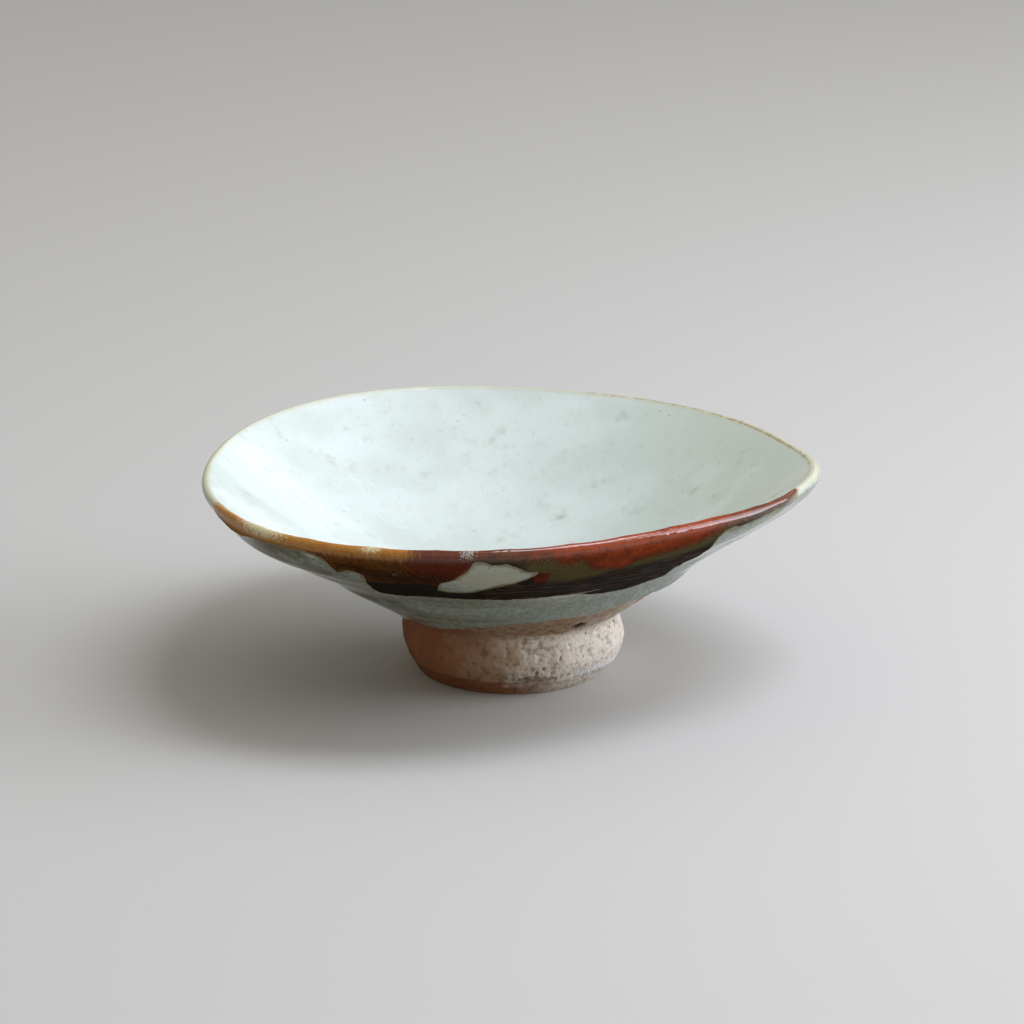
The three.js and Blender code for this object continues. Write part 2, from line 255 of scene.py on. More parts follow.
class WallSection:
    """The section of the visible skin, from the middle of the floor over the lip to the joint."""

    def __init__(self, sizes):
        self.rim_radius = sizes.rim_radius / MM
        self.lip_radius = sizes.lip_radius / MM
        self.glaze = sizes.glaze / MM
        self.iron = sizes.iron / MM
        self.foot_height = sizes.foot_height / MM
        self.clay_depth = self.glaze + COAT_GAP
        lip = np.array([self.rim_radius, sizes.rim_height / MM]) - self.lip_radius
        outside = np.array([self.rim_radius, lip[1]])
        inside = lip + self.lip_radius * np.array([math.cos(LIP_TURN), math.sin(LIP_TURN)])
        ridge_foot = np.array([RIDGE_RADIUS, RIDGE_HEIGHT])
        ridge_top = ridge_foot + RIDGE_STEP
        handles = [ridge_top + (outside - ridge_top) * share for share in (HIGH_HANDLE, LOW_HANDLE)]
        outer = bezier([outside, *handles, ridge_top], SECTION_SAMPLES["wall"])
        turn = np.linspace(LIP_TURN, 0, SECTION_SAMPLES["lip"])[:, None]
        arc = lip + self.lip_radius * np.hstack([np.cos(turn), np.sin(turn)])
        inner = self.inner_wall(outer, inside, sizes)
        joint = (JOINT_RADIUS, 0)
        ridge = np.linspace(ridge_top, ridge_foot, SECTION_SAMPLES["ridge"])
        lower = np.linspace(ridge_foot, joint, SECTION_SAMPLES["lower"])
        self.points = np.vstack([inner, *(part[1:] for part in (arc, outer, ridge, lower))])
        self.station = stretched(self.points)
        self.crest = stretched(inner)[-1] + self.lip_radius * (LIP_TURN - math.pi / 2)
        self.joint_run = self.station[-1] - self.crest
        self.ridge_run = self.joint_run - np.hypot(*(ridge_foot - joint))
        self.soften_ridge()

    def inner_wall(self, outer, inside, sizes):
        """One curve from the level floor to the lip, one wall inside the outer wall at the flare."""
        station = stretched(outer)
        place = np.searchsorted(station, station[-1] * FLARE_STATION)
        along = outer[place + 1] - outer[place]
        along /= np.hypot(*along)
        flare = outer[place] + np.array([along[1], -along[0]]) * sizes.wall / MM
        middle = np.array([0, sizes.floor / MM - BASE_DROP])
        low = middle + (RIDGE_RADIUS * FLOOR_HANDLE, 0)
        rest = 1 - FLARE_SHARE
        known = rest ** 3 * middle + 3 * rest ** 2 * FLARE_SHARE * low + FLARE_SHARE ** 3 * inside
        high = (flare - known) / (3 * rest * FLARE_SHARE ** 2)
        return bezier([middle, low, high, inside], SECTION_SAMPLES["inside"])

    def soften_ridge(self):
        """Glaze and fingers rounded both corners of the ridge."""
        near = np.abs(self.station - self.crest - self.ridge_run) < 8
        steps = np.linspace(-RIDGE_SOFTENING, RIDGE_SOFTENING, 9)
        for axis in (0, 1):
            line = self.points[:, axis]
            moved = [np.interp(self.station[near] + step, self.station, line) for step in steps]
            self.points[near, axis] = np.mean(moved, axis=0)

    def spot(self, along):
        """Distance from the axis and height of the skin, at a distance along the section."""
        along = np.clip(along, 0, self.station[-1])
        columns = [np.interp(along, self.station, self.points[:, axis]) for axis in (0, 1)]
        return np.stack(columns, -1)

    def point(self, along, depth):
        """The same as spot, but sunk by depth below the skin."""
        reach = self.lip_radius / 6
        direction = self.spot(along + reach) - self.spot(along - reach)
        direction /= np.hypot(direction[..., 0], direction[..., 1])[..., None]
        outward = np.stack([-direction[..., 1], direction[..., 0]], -1)
        return self.spot(along) - outward * np.asarray(depth)[..., None]

    def shaped_radius(self, radius, angle):
        """Distance from the axis once the rim was pulled and the belly leaned."""
        share = np.clip((radius - JOINT_RADIUS) / (self.rim_radius - JOINT_RADIUS), 0, 1)
        pull = 0
        for times, reach, towards in RIM_PULLS:
            pull = pull + reach * np.cos(times * (angle - math.radians(towards)))
        lean = -BELLY_LEAN * np.cos(angle) * np.sin(math.pi * share ** BELLY_LEAN_PLACE)
        return radius + pull * share ** PULL_SPREAD + lean

    def pressed(self, run, angle):
        """How far palms pressed both faces of the wall in, at a run and angle."""
        return sum(
            depth * blob(np.degrees(angle), towards, width) * blob(np.abs(run), middle, reach)
            for towards, width, middle, reach, depth in PALM_PRESSES)

    def place(self, run, angle, depth):
        """Points of the wall at a run and angle, sunk by depth below the skin."""
        section = self.point(self.crest + run, depth)
        shaped = self.shaped_radius(section[..., 0], angle) - self.pressed(run, angle)
        return round_axis(np.where(section[..., 0] < 1e-6, 0, shaped), angle, section[..., 1])


def between(table, angle, smooth=False):
    """Reads a table of angle and value at angles in radians, averaged over a few degrees if smooth."""
    places, values = np.array(table, float).T
    degrees = np.degrees(angle)
    if not smooth:
        return np.interp(degrees, places, values)
    spread = np.linspace(-4, 4, 9)
    return np.mean([np.interp(degrees + step, places, values) for step in spread], axis=0)


def round_angles(columns=COLUMNS):
    """Angles of the points in a row, once round from the left."""
    return np.arange(columns) / columns * 2 * math.pi - math.pi


def grid(angle, *parts):
    """Joins parts of a column of runs and repeats the column at every angle."""
    return np.concatenate(parts)[:, None] + 0 * angle


def sampled(points, size, shift, value):
    """Reads a value of three-dimensional noise at points, where one step of the noise is a size."""
    offset = Vector(shift)
    found = [value(Vector(point) + offset) for point in points.reshape(-1, 3) / size]
    return np.array(found).reshape(points.shape[:-1])


def unevenness(points, size, octaves, seed):
    """Soft noise at points, with features of a size in millimetres."""
    shift = (seed, 2 * seed, -seed)
    return sampled(points, size, shift, lambda place: noise.fractal(place, 1.0, 2.0, octaves))


def grains(points, size, share, seed):
    """How near each point is to a scattered grain: 1 at its middle, 0 from a third of the size out.

    About the given share of the grains is kept, each by a lot of its own.
    """
    def nearness(place):
        distances, middles = noise.voronoi(place)
        kept = noise.cell(middles[0] * GRAIN_LOTS) < share * 2 - 1
        return max(0.0, 1 - distances[0] * 3) if kept else 0.0

    return sampled(points, size, (seed, -seed, 3 * seed), nearness)


def unrolled(run, angle, section):
    """Flattens the wall as a cone with the front in the middle, so distances on it are true."""
    reach = section.rim_radius / WALL_SLANT - run
    turn = (angle + math.pi / 2) * WALL_SLANT
    return np.stack([reach * np.sin(turn), -reach * np.cos(turn)], -1)


def rounded(outline, times=2):
    """Cuts the corners of a closed outline, so it runs in soft curves."""
    path = np.array(outline, float)
    for _ in range(times):
        following = np.roll(path, -1, axis=0)
        pairs = [0.75 * path + 0.25 * following, 0.25 * path + 0.75 * following]
        path = np.stack(pairs, 1).reshape(-1, 2)
    return path


def inside_distance(points, outline):
    """Distance in from an outline, negative outside it."""
    nearest = np.full(points.shape[:-1], np.inf)
    within = np.zeros(points.shape[:-1], bool)
    for start, end in zip(outline, np.roll(outline, -1, axis=0)):
        side = end - start
        share = np.clip(((points - start) @ side) / (side @ side), 0, 1)
        gap = points - start - share[..., None] * side
        nearest = np.minimum(nearest, np.hypot(gap[..., 0], gap[..., 1]))
        spans = (start[1] > points[..., 1]) != (end[1] > points[..., 1])
        rise = side[1] if side[1] else 1e-9
        crossing = start[0] + (points[..., 1] - start[1]) / rise * side[0]
        within ^= spans & (points[..., 0] < crossing)
    return np.where(within, nearest, -nearest)


def iron_distance(run, angle, section):
    """Distance in from the edge of the iron glaze, which ran unevenly, with its window cut out."""
    flat = unrolled(run, angle, section)
    wobble = np.stack([0.3 * flat[..., 0], 0.3 * flat[..., 1], 0 * flat[..., 0]], -1)
    edges = []
    for outline, seed in ((IRON_OUTLINE, 3.0), (WINDOW_OUTLINE, 9.0)):
        turn, drop = rounded(outline).T
        edge = inside_distance(flat, unrolled(drop, np.radians(turn), section))
        waver = 0.45 * unevenness(wobble, 1.1, 3, seed) * smooth_step(0.4, 3.0, run)
        edges.append(edge + waver)
    return np.minimum(edges[0], -edges[1])


def throwing_marks(run, angle, section):
    """Fine rings that rise in one spiral and soft dents from the fingers, outward in millimetres."""
    points = section.place(run, angle, 0.0)
    rings = np.sin(2 * math.pi * run / RING_SPACING + angle) * (0.6 + unevenness(points, 16, 1, 5.0))
    dents = unevenness(points, 22, 2, 1.0)
    outside = smooth_step(1.5, 5, run) * (OUTSIDE_MARKS[0] * rings + OUTSIDE_MARKS[1] * dents)
    inside = smooth_step(1.5, 8, -run) * (INSIDE_MARKS[0] * rings + INSIDE_MARKS[1] * dents)
    return outside + inside


def quads(rows, columns, wrapped=True):
    """Faces of a grid of points, going round if it is wrapped."""
    row = np.arange(rows - 1)[:, None] * columns
    column = np.arange(columns if wrapped else columns - 1)[None, :]
    beside = (column + 1) % columns
    faces = [row + column, row + beside, row + columns + beside, row + columns + column]
    return np.stack(faces, -1).reshape(-1, 4)


def make_piece(name, points, faces, replaced, material, fields, sharp=40):
    """Makes a mesh piece from millimetres round the axis, which rides and replaces a CAD node."""
    placed = (np.asarray(points, float) * MM) + (*AXIS, 0)
    mesh = bpy.data.meshes.new(name)
    mesh.from_pydata(placed.tolist(), [], [list(face) for face in faces])
    work = bmesh.new()
    work.from_mesh(mesh)
    bmesh.ops.recalc_face_normals(work, faces=work.faces)
    work.to_mesh(mesh)
    work.free()
    for field, values in fields.items():
        attribute = mesh.attributes.new(field, "FLOAT", "POINT")
        attribute.data.foreach_set("value", np.asarray(values, np.float32).ravel())
    mesh.shade_smooth()
    mesh.set_sharp_from_angle(angle=math.radians(sharp))
    mesh.materials.append(material)
    piece = bpy.data.objects.new(name, mesh)
    bpy.context.scene.collection.objects.link(piece)
    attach(piece, BODY)
    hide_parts(replaced)


def turned_piece(name, rows, replaced, material, fields, poles=False):
    """Makes a piece from rows of points that each run once round.

    The last row joins the first one, or, with poles, both close in a point on the axis.
    """
    count, columns = rows.shape[:2]
    points = rows.reshape(-1, 3)
    faces = quads(count, columns).tolist()
    last = (count - 1) * columns
    sides = [(place, (place + 1) % columns) for place in range(columns)]
    if poles:
        points = np.vstack([points, rows[0].mean(axis=0), rows[-1].mean(axis=0)])
        for middle, row in ((len(points) - 2, 0), (len(points) - 1, last)):
            faces += [(middle, row + a, row + b) for a, b in sides]
        fields = {
            field: np.concatenate([np.ravel(values), [np.mean(values[0]), np.mean(values[-1])]])
            for field, values in fields.items()
        }
    else:
        faces += [(last + a, last + b, b, a) for a, b in sides]
    make_piece(name, points, faces, replaced, material, fields)


def node(tree, kind, links=None, **settings):
    """Adds a shader node with its settings. links gives its inputs a socket or a value."""
    added = tree.nodes.new(kind)
    for name, value in settings.items():
        setattr(added, name, value)
    for name, value in (links or {}).items():
        if isinstance(value, bpy.types.NodeSocket):
            tree.links.new(value, added.inputs[name])
        else:
            added.inputs[name].default_value = value
    return added


def empty_tree(owner):
    """The node tree of a material or world, with nothing in it yet."""
    owner.use_nodes = True
    owner.node_tree.nodes.clear()
    return owner.node_tree


# One colour laid over the colours below it. It covers from where its field has the value start to where it
# has the value end, up to its share. Its border wanders by up to reach where a noise is given.
Layer = namedtuple("Layer", "field start end colour share noise reach", defaults=(None, 0.0))

# Noise mostly keeps to the middle half of its range
NOISE_SPAN = 0.5

# Sockets of a Mix node that mixes colours
MIX_SHARE, MIX_BELOW, MIX_ABOVE, MIX_RESULT = 0, 6, 7, 2


def painted(tree, at, ground, layers):
    """Lays the colours of the layers over a ground, one by one."""
    below = (*ground, 1)
    for layer in layers:
        value = at[layer.field]
        middle = layer.reach / NOISE_SPAN
        if layer.noise:
            wandering = {0: at[layer.noise], 1: 2 * middle, 2: value}
            value = node(tree, "ShaderNodeMath", wandering, operation="MULTIPLY_ADD").outputs[0]
        cover = node(tree, "ShaderNodeMapRange", {
            "Value": value, "From Min": layer.start + middle, "From Max": layer.end + middle,
            "To Max": layer.share}, interpolation_type="SMOOTHSTEP")
        mixed = node(tree, "ShaderNodeMix", {
            MIX_SHARE: cover.outputs[0], MIX_BELOW: below, MIX_ABOVE: (*as_linear(layer.colour), 1),
        }, data_type="RGBA")
        below = mixed.outputs[MIX_RESULT]
    return below


def fired(name, surface, ground, layers, bumps, clouds, specks=(), strokes=()):
    """Makes a material of clay or glaze: its surface, its colours over a ground, and its bumps.

    All of them name the patterns that they go by, and any other name is a field of the mesh.
    Clouds are noise from 0 to 1 with features of a size in millimetres, and strokes are such noise
    pulled out along the rim or down the wall. Specks are distances in millimetres to the nearest of
    the points that lie a spacing apart, each further off by a part of its spread, so that some are
    small and some don't show. A bump is a pattern and how many millimetres 1 stands for.
    """
    material = bpy.data.materials.new(name)
    tree = empty_tree(material)
    layers = [Layer(*layer) for layer in layers]
    fields = [layer.field for layer in layers]
    fields += [value for value in surface.values() if isinstance(value, str)]
    if strokes:
        fields += ["turn", "run"]
    made = {pattern[0] for pattern in (*clouds, *strokes, *specks)}
    at = {
        field: node(tree, "ShaderNodeAttribute", attribute_name=field).outputs["Fac"]
        for field in sorted(set(fields) - made)
    }
    place = node(tree, "ShaderNodeTexCoord").outputs["Object"]
    place = node(tree, "ShaderNodeVectorMath", {0: place, 1: (1 / MM,) * 3}, operation="MULTIPLY").outputs[0]
    noises = [(*cloud, place) for cloud in clouds]
    for stroke, size, detail, stretch in strokes:
        flat = node(tree, "ShaderNodeCombineXYZ", {"X": at["turn"], "Y": at["run"]}).outputs[0]
        pulled = node(tree, "ShaderNodeVectorMath", {0: flat, 1: stretch}, operation="MULTIPLY").outputs[0]
        noises.append((stroke, size, detail, pulled))
    for cloud, size, detail, vector in noises:
        at[cloud] = node(tree, "ShaderNodeTexNoise", {
            "Vector": vector, "Scale": 1 / size, "Detail": detail, "Roughness": 0.6}).outputs["Fac"]
    for speck, spacing, spread in specks:
        cells = node(tree, "ShaderNodeTexVoronoi", {"Vector": place, "Scale": 1 / spacing}).outputs
        own = node(tree, "ShaderNodeSeparateColor", {"Color": cells["Color"]}).outputs[0]
        away = node(tree, "ShaderNodeMath", {0: own, 1: spread}, operation="MULTIPLY").outputs[0]
        at[speck] = node(tree, "ShaderNodeMath", {
            0: cells["Distance"], 1: spacing, 2: away}, operation="MULTIPLY_ADD").outputs[0]
    links = {socket: at[value] if isinstance(value, str) else value for socket, value in surface.items()}
    links["Base Color"] = painted(tree, at, ground, layers)
    for pattern, height in bumps:
        before = {"Normal": links["Normal"]} if "Normal" in links else {}
        bump = node(tree, "ShaderNodeBump", {"Height": at[pattern], "Distance": height * MM, **before})
        links["Normal"] = bump.outputs["Normal"]
    shader = node(tree, "ShaderNodeBsdfPrincipled", links)
    node(tree, "ShaderNodeOutputMaterial", {"Surface": shader.outputs["BSDF"]})
    return material


def stoneware(name, colours):
    """Coarse iron-bearing stoneware, thrown, trimmed with a loop tool and left bare.

    To the eye it is matt and torn: pinkish beige with lighter grog, dark pits and iron specks,
    flashed orange where the flame licked it and darker in a patch at the top of the bevel. Painted
    light and shade are laid on it too: lighter raised lumps, darker hollows, pits and slit, a darker
    left side, a cream right side, and a painted highlight along the ridge at the top of the bevel.
    """
    # Torn lumps are about 1.3 mm. Sand of 0.2 mm is too fine to show, so it is drawn as 0.45 mm
    return fired(name, {"Roughness": 0.88, "IOR": 1.5}, colours.clay, [
        ("broad", 0.42, 0.62, "#C9AC94", 0.7),
        # Partly flashing and partly painted shade on the left side, which faces away from the boxes
        ("flash", 0.05, 0.8, "#A05E30", 0.9, "broad", 0.3),
        ("flash", 0.75, 1.3, "#7E4218", 0.6, "grain", 0.4),
        # Partly paler clay and partly painted light on the right side, which faces the boxes
        ("cream", 0.1, 0.62, "#F4EBDD", 1.0, "broad", 0.2),
        # Painted light on raised lumps and grog, which is also paler clay, weaker on the left; painted shade
        # in the hollows
        ("lit_grog", 0.2, 1.4, "#E4CDB2", 0.4, "grain", 0.4),
        ("relief", 0.1, -1.2, "#7A573F", 0.6, "grain", 0.4),
        ("grain", 0.52, 0.7, "#8E6A50", 0.4),
        # Painted highlight along the ridge at the top of the bevel, on the front right
        ("ridge_light", 0.15, 0.7, "#F6F5F3", 1.0, "grain", 0.3),
        # Darker in a patch at the top of the bevel on the front
        ("smudge", 0.45, 0.95, "#7A604E", 0.75, "grain", 0.5),
        ("iron", 0.4, 0.2, "#3E281B", 0.6),
        # Painted shade in the pits, and nearly black painted shade in the slit
        ("pit", 0.15, 0.7, "#5A3E2C", 0.7),
        ("pit", 1.0, 1.5, "#120C08", 1.0),
    ], bumps=[("grain", 0.30), ("grit", 0.12)],
        clouds=[("broad", 8.0, 3), ("grain", 1.3, 4), ("grit", 0.45, 2)], specks=[("iron", 2.4, 2.6)])


def clay_slip(name):
    """The same clay thinned with water and pressed out of the joint: darker, finer and matt."""
    return fired(name, {"Roughness": 0.85, "IOR": 1.5}, linear("#6B4A36"), [
        ("grain", 0.4, 0.7, "#8C6A52", 0.7),
    ], bumps=[("grain", 0.2)], clouds=[("grain", 0.8, 3)])


def ash_glaze(name, colours):
    """Pale ash glaze, dipped and fired glossy over the clay.

    To the eye it is a pale grey-green glass, clouded by bubbles, with iron specks bleeding through
    from the clay. It breaks to cream and ochre where it thinned over the lip and along its hem. Outside
    it is greyer, partly painted shade, darkest on the left; inside, the right wall is greener with painted
    shade; and beside the left iron dip a painted highlight streaks it.
    """
    # Bubbles are about 0.2 mm, too fine to show, so they are drawn as a grain of 0.5 mm and as freckles
    # 1.1 mm apart. They drift together in clouds of about 1.4, 6 and 26 mm
    return fired(name, {"Roughness": 0.09, "IOR": 1.5, "Specular IOR Level": 0.4}, colours.ash_glaze, [
        # Partly a greener glaze and partly painted shade on the inside's right wall, which faces away from
        # the boxes
        ("sheltered", 0.0, 1.0, "#CAD2C4", 1.0),
        ("broad", 0.4, 0.62, "#E3EBE8", 0.5),
        ("broad", 0.5, 0.34, "#C8D0C6", 0.3, "middle", 0.12),
        ("middle", 0.46, 0.68, "#CBD1C4", 0.25),
        # Partly a greyer glaze over the clay and partly painted shade on the outside wall, which faces down;
        # less in the window
        ("outside", 0.0, 1.0, "#BAC5BE", 0.9),
        ("outside", 0.55, 1.15, "#A4AFA2", 0.55, "middle", 0.35),
        ("outside", 0.7, 1.2, "#87927F", 0.65, "fine", 0.5),
        ("fine", 0.55, 0.75, "#BAC4B8", 0.3),
        ("shade", 0.1, 0.9, "#4C4828", 0.9, "middle", 0.35),
        ("weep", 0.25, 0.9, "#5E5730", 0.85, "fine", 0.5),
        ("window", 0.3, 0.8, "#C4C4A6", 0.75, "fine", 0.4),
        ("spared", -0.5, -1.0, "#56523E", 0.55, "freckles", 1.0),
        # Painted highlight: a pale streak on the glaze beside the left iron dip
        ("wet_streak", 0.3, 0.8, "#F4F6F0", 0.9, "fine", 0.15),
        ("over_lip", 1.7, 0.5, "#CDCBAC", 0.65, "fine", 0.5),
        ("cream_lip", 0.2, 0.9, "#C3C3A6", 0.85, "fine", 0.3),
        ("ochre_lip", 0.5, 1.1, "#9C7A44", 0.65, "fine", 0.5),
        ("iron_gap", 1.2, 0.1, "#857236", 0.75, "middle", 1.2),
        ("hem", 2.2, 0.5, "#A09070", 0.5, "fine", 0.5),
        ("hem", 0.75, 0.3, "#4E3524", 0.85, "fine", 0.25),
        ("stains", 1.8, 0.4, "#BDBEAA", 0.2, "fine", 0.2),
        ("spots", 0.7, 0.3, "#7E8272", 0.35, "grain", 0.15),
        ("dots", 0.34, 0.2, "#7A7260", 0.3),
    ], bumps=[("middle", 0.05), ("fine", 0.02)],
        clouds=[("broad", 26.0, 2), ("middle", 6.0, 3), ("fine", 1.4, 4), ("grain", 0.5, 2)],
        specks=[("stains", 19.0, 3.4), ("spots", 9.0, 2.2), ("dots", 2.2, 1.3), ("freckles", 1.1, 0.9)])


def iron_glaze(name, ground, layers):
    """What both iron glazes share. They shine only through their own glass skin, thick over the lip.

    Below the lip they crystallised to satin. Crystals of 0.1 mm are too fine to show, so they are drawn
    as a grain of 0.45 mm. The glaze was brushed along the rim and ran down the wall.
    """
    return fired(
        name, {
            "Roughness": 0.4, "IOR": 1.5, "Specular IOR Level": 0.0,
            "Coat Weight": "gloss", "Coat Roughness": 0.05, "Coat IOR": 1.7,
        }, ground, layers,
        bumps=[("mottle", 0.12), ("grain", 0.06)],
        clouds=[("mottle", 2.2, 4), ("grain", 0.45, 3), ("blotch", 5.0, 3)],
        strokes=[("brushed", 1.3, 4, (0.12, 1.0, 1.0)), ("dripped", 0.9, 4, (1.0, 0.4, 1.0))])


def ochre_iron_glaze(name, colours):
    """Iron glaze over ash glaze, first dip: thin and ochre over the lip, brown and maroon under it.

    To the eye it is a wet-looking brown glass that breaks to golden ochre with pale flecks on the
    lip and pools nearly black along its lower edge, with a few white crystals.
    """
    return iron_glaze(name, linear("#6E4216"), [
        ("blotch", 0.45, 0.65, "#54300F", 0.7),
        ("maroon", 0.35, 0.9, "#662316", 0.85, "mottle", 0.6),
        ("dark", 0.2, 0.8, "#38210F", 0.95, "grain", 0.6),
        ("dripped", 0.5, 0.72, "#8A4A1C", 0.35),
        ("golden", 0.3, 0.85, colours.ochre, 0.95, "dripped", 0.45),
        ("golden", 0.7, 1.2, "#C58A34", 0.5, "mottle", 0.8),
        ("pool", -0.6, 0.9, colours.black, 1.0, "brushed", 0.8),
        ("fringe", 0.3, 1.0, "#8A7432", 0.9, "grain", 0.5),
        ("fleck", 0.75, 1.2, "#E2DAB4", 0.9, "grain", 0.6),
        ("sparkle", 1.5, 1.8, "#C9C6BC", 0.95, "grain", 1.3),
        ("run", -0.35, -0.8, "#3C2210", 0.75, "grain", 0.3),
        ("crystal", 0.65, 1.0, "#A9A69C", 0.9, "grain", 0.5),
    ])


def rust_iron_glaze(name, colours):
    """Iron glaze over ash glaze, second dip: red iron crystals over olive and black glass.

    To the eye the lip is rust red with a broken shine, then speckled olive, then black with paler
    wiped streaks, and the thin edge is amber.
    """
    return iron_glaze(name, colours.black, [
        ("brushed", 0.48, 0.62, "#5C534A", 0.75),
        ("olive", -0.8, 1.4, "#4E4628", 0.9, "grain", 2.2),
        ("olive", 0.6, 2.2, "#6E643A", 0.6, "grain", 3.0),
        ("patch", 0.5, 0.7, "#6E2414", 0.9, "mottle", 0.3),
        ("rust", -0.9, 1.4, "#7A2A0E", 0.95, "grain", 2.4),
        ("rust", 0.8, 3.4, colours.rust, 0.65, "mottle", 2.4),
        ("rust", 1.5, 3.4, "#A85224", 0.3, "grain", 4.0),
        ("blotch", 0.52, 0.7, "#40200F", 0.45),
        ("grain", 0.5, 0.66, "#2A180F", 0.65),
        ("fringe", 0.3, 1.0, "#8A6A26", 0.9, "grain", 0.5),
        ("streak", 0.4, 0.8, "#9A9084", 0.8, "brushed", 0.3),
        ("run", -0.35, -0.8, "#4A1C0C", 0.75, "grain", 0.3),
        ("crystal", 0.55, 0.95, "#A9A69C", 0.95, "grain", 0.7),
    ])


def sized(context):
    """The wall's section and the colours that are set in the panel."""
    return WallSection(context.scene.teabowl_sizes), context.scene.teabowl_colours


def lifted(section, points):
    """Puts points whose heights are counted from the joint at their height above the foot's base."""
    return points + (0, 0, section.foot_height)


# How high the torn clay, its grog and the tool's grooves stand and how deep the pits are, in millimetres.
# On the roughest side, at its angle and width in degrees, lumps and grog stand higher.
TORN_HEIGHT = 0.12
GROG_HEIGHT = 0.08
ROUGHER_BY = 0.1
ROUGHEST = (-98, 34)
PIT_DEPTH = 0.35
GROOVE_HEIGHT = 0.02
GROOVE_SPACING = 1.3

# The tool's spiral in the foot's recess
SPIRAL_SPACING = 1.9
SPIRAL_HEIGHT = 0.1

# How far up from the joint the clay has its torn surface, and the distance between rows of points there
BARE_REACH = 21
CLAY_STEP = 0.38

# Radius of the first row of points round the middle of the floor, on the clay and on its glaze
CLAY_MIDDLE = 0.5
GLAZE_MIDDLE = 0.4


def clay_relief(points):
    """How far bare clay stands out in millimetres, and how deep in a pit each point is, up to 1.

    The clay is torn into small upright lumps, with grog that stands out, pits where the tool
    pulled grog away, and the tool's grooves.
    """
    torn = unevenness(points * (1.0, 1.0, 0.75), 1.5, 3, 4.0)
    bent = points + 0.45 * torn[..., None]
    grog = grains(bent, 2.1, 0.5, 2.0)
    pulled = smooth_step(-0.35, 0.25, unevenness(points, 6, 2, 21.0))
    pit = grains(bent * (1.0, 1.0, 0.7), 1.9, 0.3, 6.0) * pulled
    grooves = np.sin(2 * math.pi * points[..., 2] / GROOVE_SPACING + 2 * unevenness(points, 8, 1, 8.0))
    rougher = ROUGHER_BY * blob(bearing(points), *ROUGHEST)
    standing = (TORN_HEIGHT + rougher) * torn + (GROG_HEIGHT + rougher) * grog
    return standing - PIT_DEPTH * pit + GROOVE_HEIGHT * grooves, pit


def clay_fields(points, relief, pit):
    """Where the bare clay is flashed, pitted or darker in a patch, and where light and shade are painted on
    it. Heights are above the foot's base.
    """
    degrees = bearing(points)
    around = np.abs(degrees)
    height = points[..., 2]
    # The left side: partly flashed by the flame, partly painted shade, as it faces away from the boxes
    left = smooth_step(-82, -140, degrees) * smooth_step(179, 168, around)
    flashed_and_shaded = left + smooth_step(150, 175, around)
    low = smooth_step(4.4, 3.4, height) * (0.62 - 0.3 * smooth_step(-100, -50, degrees))
    under = smooth_step(15.5, 17.0, height)
    pale_height = (0.6 + 0.4 * smooth_step(3.5, 4.6, height)) * (1 - 0.7 * under)
    return {
        # Painted shade in the hollows, and painted light on raised lumps and grog, which is also paler clay,
        # weaker on the left
        "relief": relief / TORN_HEIGHT,
        "lit_grog": relief / TORN_HEIGHT - 3 * flashed_and_shaded,
        "pit": pit,
        "flash": np.clip(0.8 * flashed_and_shaded + low + 0.12 * under, 0, 1.3),
        # Partly paler clay and partly painted light on the right side, which faces the boxes
        "cream": blob(degrees, -24, 58) * pale_height,
        # Darker in a patch at the top of the bevel on the front
        "smudge": blob(degrees, -76, 24) * blob(height, 4.9, 1.3),
        # Painted highlight along the ridge at the top of the bevel, on the front right
        "ridge_light": blob(degrees, -26, 32) * blob(height, 4.5, 1.0),
    }


def turned_about(path, angle):
    """A path of distances from the axis and heights, turned round the axis."""
    radius, height = path.T[..., None]
    return round_axis(radius, angle, height)


# The slit left where slip didn't fill the joint: its angle, distance from the axis, height over the joint,
# half its length as an angle, half its height, and its depth
SLIT_ANGLE = math.radians(-57)
SLIT_RADIUS = 29.6
SLIT_HEIGHT = 3.0
SLIT_REACH = math.radians(2.6)
SLIT_OPENING = 1.1
SLIT_DEPTH = 1.8

# How much darker than a pit the slit is painted, as painted shade inside it
SLIT_PAINTED_SHADE = 4


def slit_share(angle, radius, height):
    """How near each point is to the middle of the slit, up to 1. Heights are counted from the joint."""
    beside = np.hypot(radius - SLIT_RADIUS, height - SLIT_HEIGHT)
    return np.clip(1.5 * blob(angle, SLIT_ANGLE, SLIT_REACH) * blob(beside, 0, SLIT_OPENING), 0, 1)


